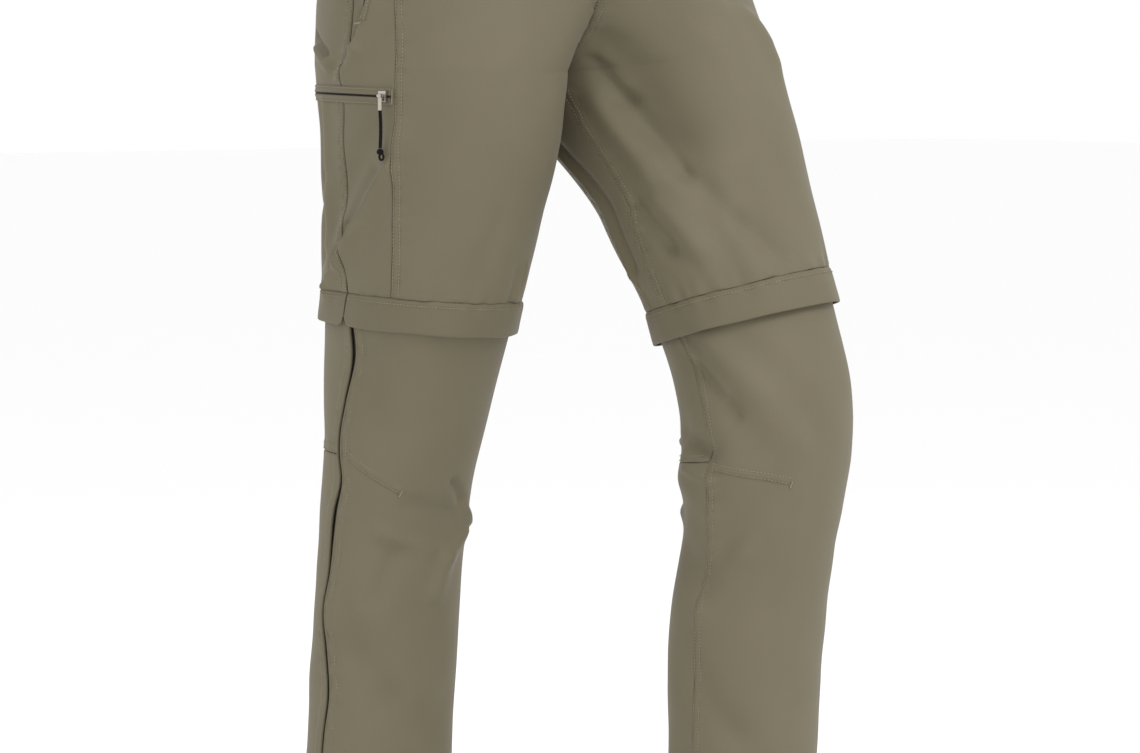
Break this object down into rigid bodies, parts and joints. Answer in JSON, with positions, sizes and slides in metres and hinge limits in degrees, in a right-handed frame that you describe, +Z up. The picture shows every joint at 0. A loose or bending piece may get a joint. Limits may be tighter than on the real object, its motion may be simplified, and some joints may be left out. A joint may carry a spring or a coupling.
{
  "type": "convertible zip-off trousers",
  "caption": "Worn, striding convertible trousers of plain woven cloth, with a thigh flap over each leg zip, long side zips, slanted hand pockets and a cargo pocket zip with a braided pull.",
  "frame": {"origin": "middle of the waist opening, at the mid height of the waistband", "axes": "+Z up to the waist, -Y to the front of the trousers, -X to the wearer's right leg"},
  "size_m": [0.3774, 0.4338, 1.0671],
  "materials": {
    "woven_nylon": "matt plain weave with a slight sheen",
    "nylon_trim": "doubled plain weave, topstitched",
    "zip_chain": "zip tape with a coil chain",
    "pull_metal": "satin",
    "braided_cord": "round braid",
    "horn_button": "satin"
  },
  "bodies": {
    "trousers": {"back_left": "woven_nylon", "back_right": "woven_nylon", "belt_loop_1": "nylon_trim", "belt_loop_2": "nylon_trim", "belt_loop_3": "nylon_trim", "belt_loop_4": "nylon_trim", "belt_loop_5": "nylon_trim", "belt_loop_6": "nylon_trim", "calf_back_left": "woven_nylon", "calf_back_right": "woven_nylon", "cargo_welt_lower": "nylon_trim", "cargo_welt_upper": "nylon_trim", "cargo_zip": "zip_chain", "fly_shield": "woven_nylon", "front_left": "woven_nylon", "front_right": "woven_nylon", "gusset_left": "woven_nylon", "gusset_right": "woven_nylon", "hand_welt_left": "nylon_trim", "hand_welt_right": "nylon_trim", "hand_zip_left": "zip_chain", "hand_zip_right": "zip_chain", "knee_back_left": "woven_nylon", "knee_back_right": "woven_nylon", "leg_lip_back_left": "nylon_trim", "leg_lip_back_right": "nylon_trim", "leg_lip_front_left": "nylon_trim", "leg_lip_front_right": "nylon_trim", "leg_zip_left": "zip_chain", "leg_zip_right": "zip_chain", "shin_front_left": "woven_nylon", "shin_front_right": "woven_nylon", "side_front_left": "woven_nylon", "side_front_right": "woven_nylon", "slider_cargo": "pull_metal", "slider_hand_left": "pull_metal", "slider_hand_right": "pull_metal", "slider_leg_left": "pull_metal", "slider_leg_right": "pull_metal", "thigh_flap_left": "nylon_trim", "thigh_flap_right": "nylon_trim", "thigh_zip_left": "zip_chain", "thigh_zip_right": "zip_chain", "waist_button": "horn_button", "waistband": "nylon_trim"},
    "pull_hand_right": {"pull_tab_hand_right": "pull_metal"},
    "pull_hand_left": {"pull_tab_hand_left": "pull_metal"},
    "pull_leg_right": {"pull_tab_leg_right": "pull_metal"},
    "pull_leg_left": {"pull_tab_leg_left": "pull_metal"},
    "pull_cargo": {"pull_tab_cargo": "pull_metal", "pull_cord": "braided_cord", "cord_knot": "braided_cord"}
  },
  "joints": [
    {"name": "pull_hand_right_swing", "type": "hinge", "parent": "trousers", "child": "pull_hand_right", "pos_m": [-0.17729, -0.02849, -0.06499], "axis": [0.218, -0.9759, 0], "range_deg": [-100, 2]},
    {"name": "pull_leg_right_swing", "type": "hinge", "parent": "trousers", "child": "pull_leg_right", "pos_m": [-0.17254, 0.08833, -1.01983], "axis": [0.0181, -0.9998, 0], "range_deg": [-100, 2]},
    {"name": "pull_hand_left_swing", "type": "hinge", "parent": "trousers", "child": "pull_hand_left", "pos_m": [0.17721, -0.03305, -0.05979], "axis": [0.2143, 0.9768, 0], "range_deg": [-100, 2]},
    {"name": "pull_leg_left_swing", "type": "hinge", "parent": "trousers", "child": "pull_leg_left", "pos_m": [0.17383, -0.18106, -1.01578], "axis": [0.0188, 0.9998, 0], "range_deg": [-100, 2]},
    {"name": "pull_cargo_swing", "type": "hinge", "parent": "trousers", "child": "pull_cargo", "pos_m": [-0.18966, -0.04662, -0.25678], "axis": [0.2967, -0.955, 0], "range_deg": [-80, 0]}
  ]
}
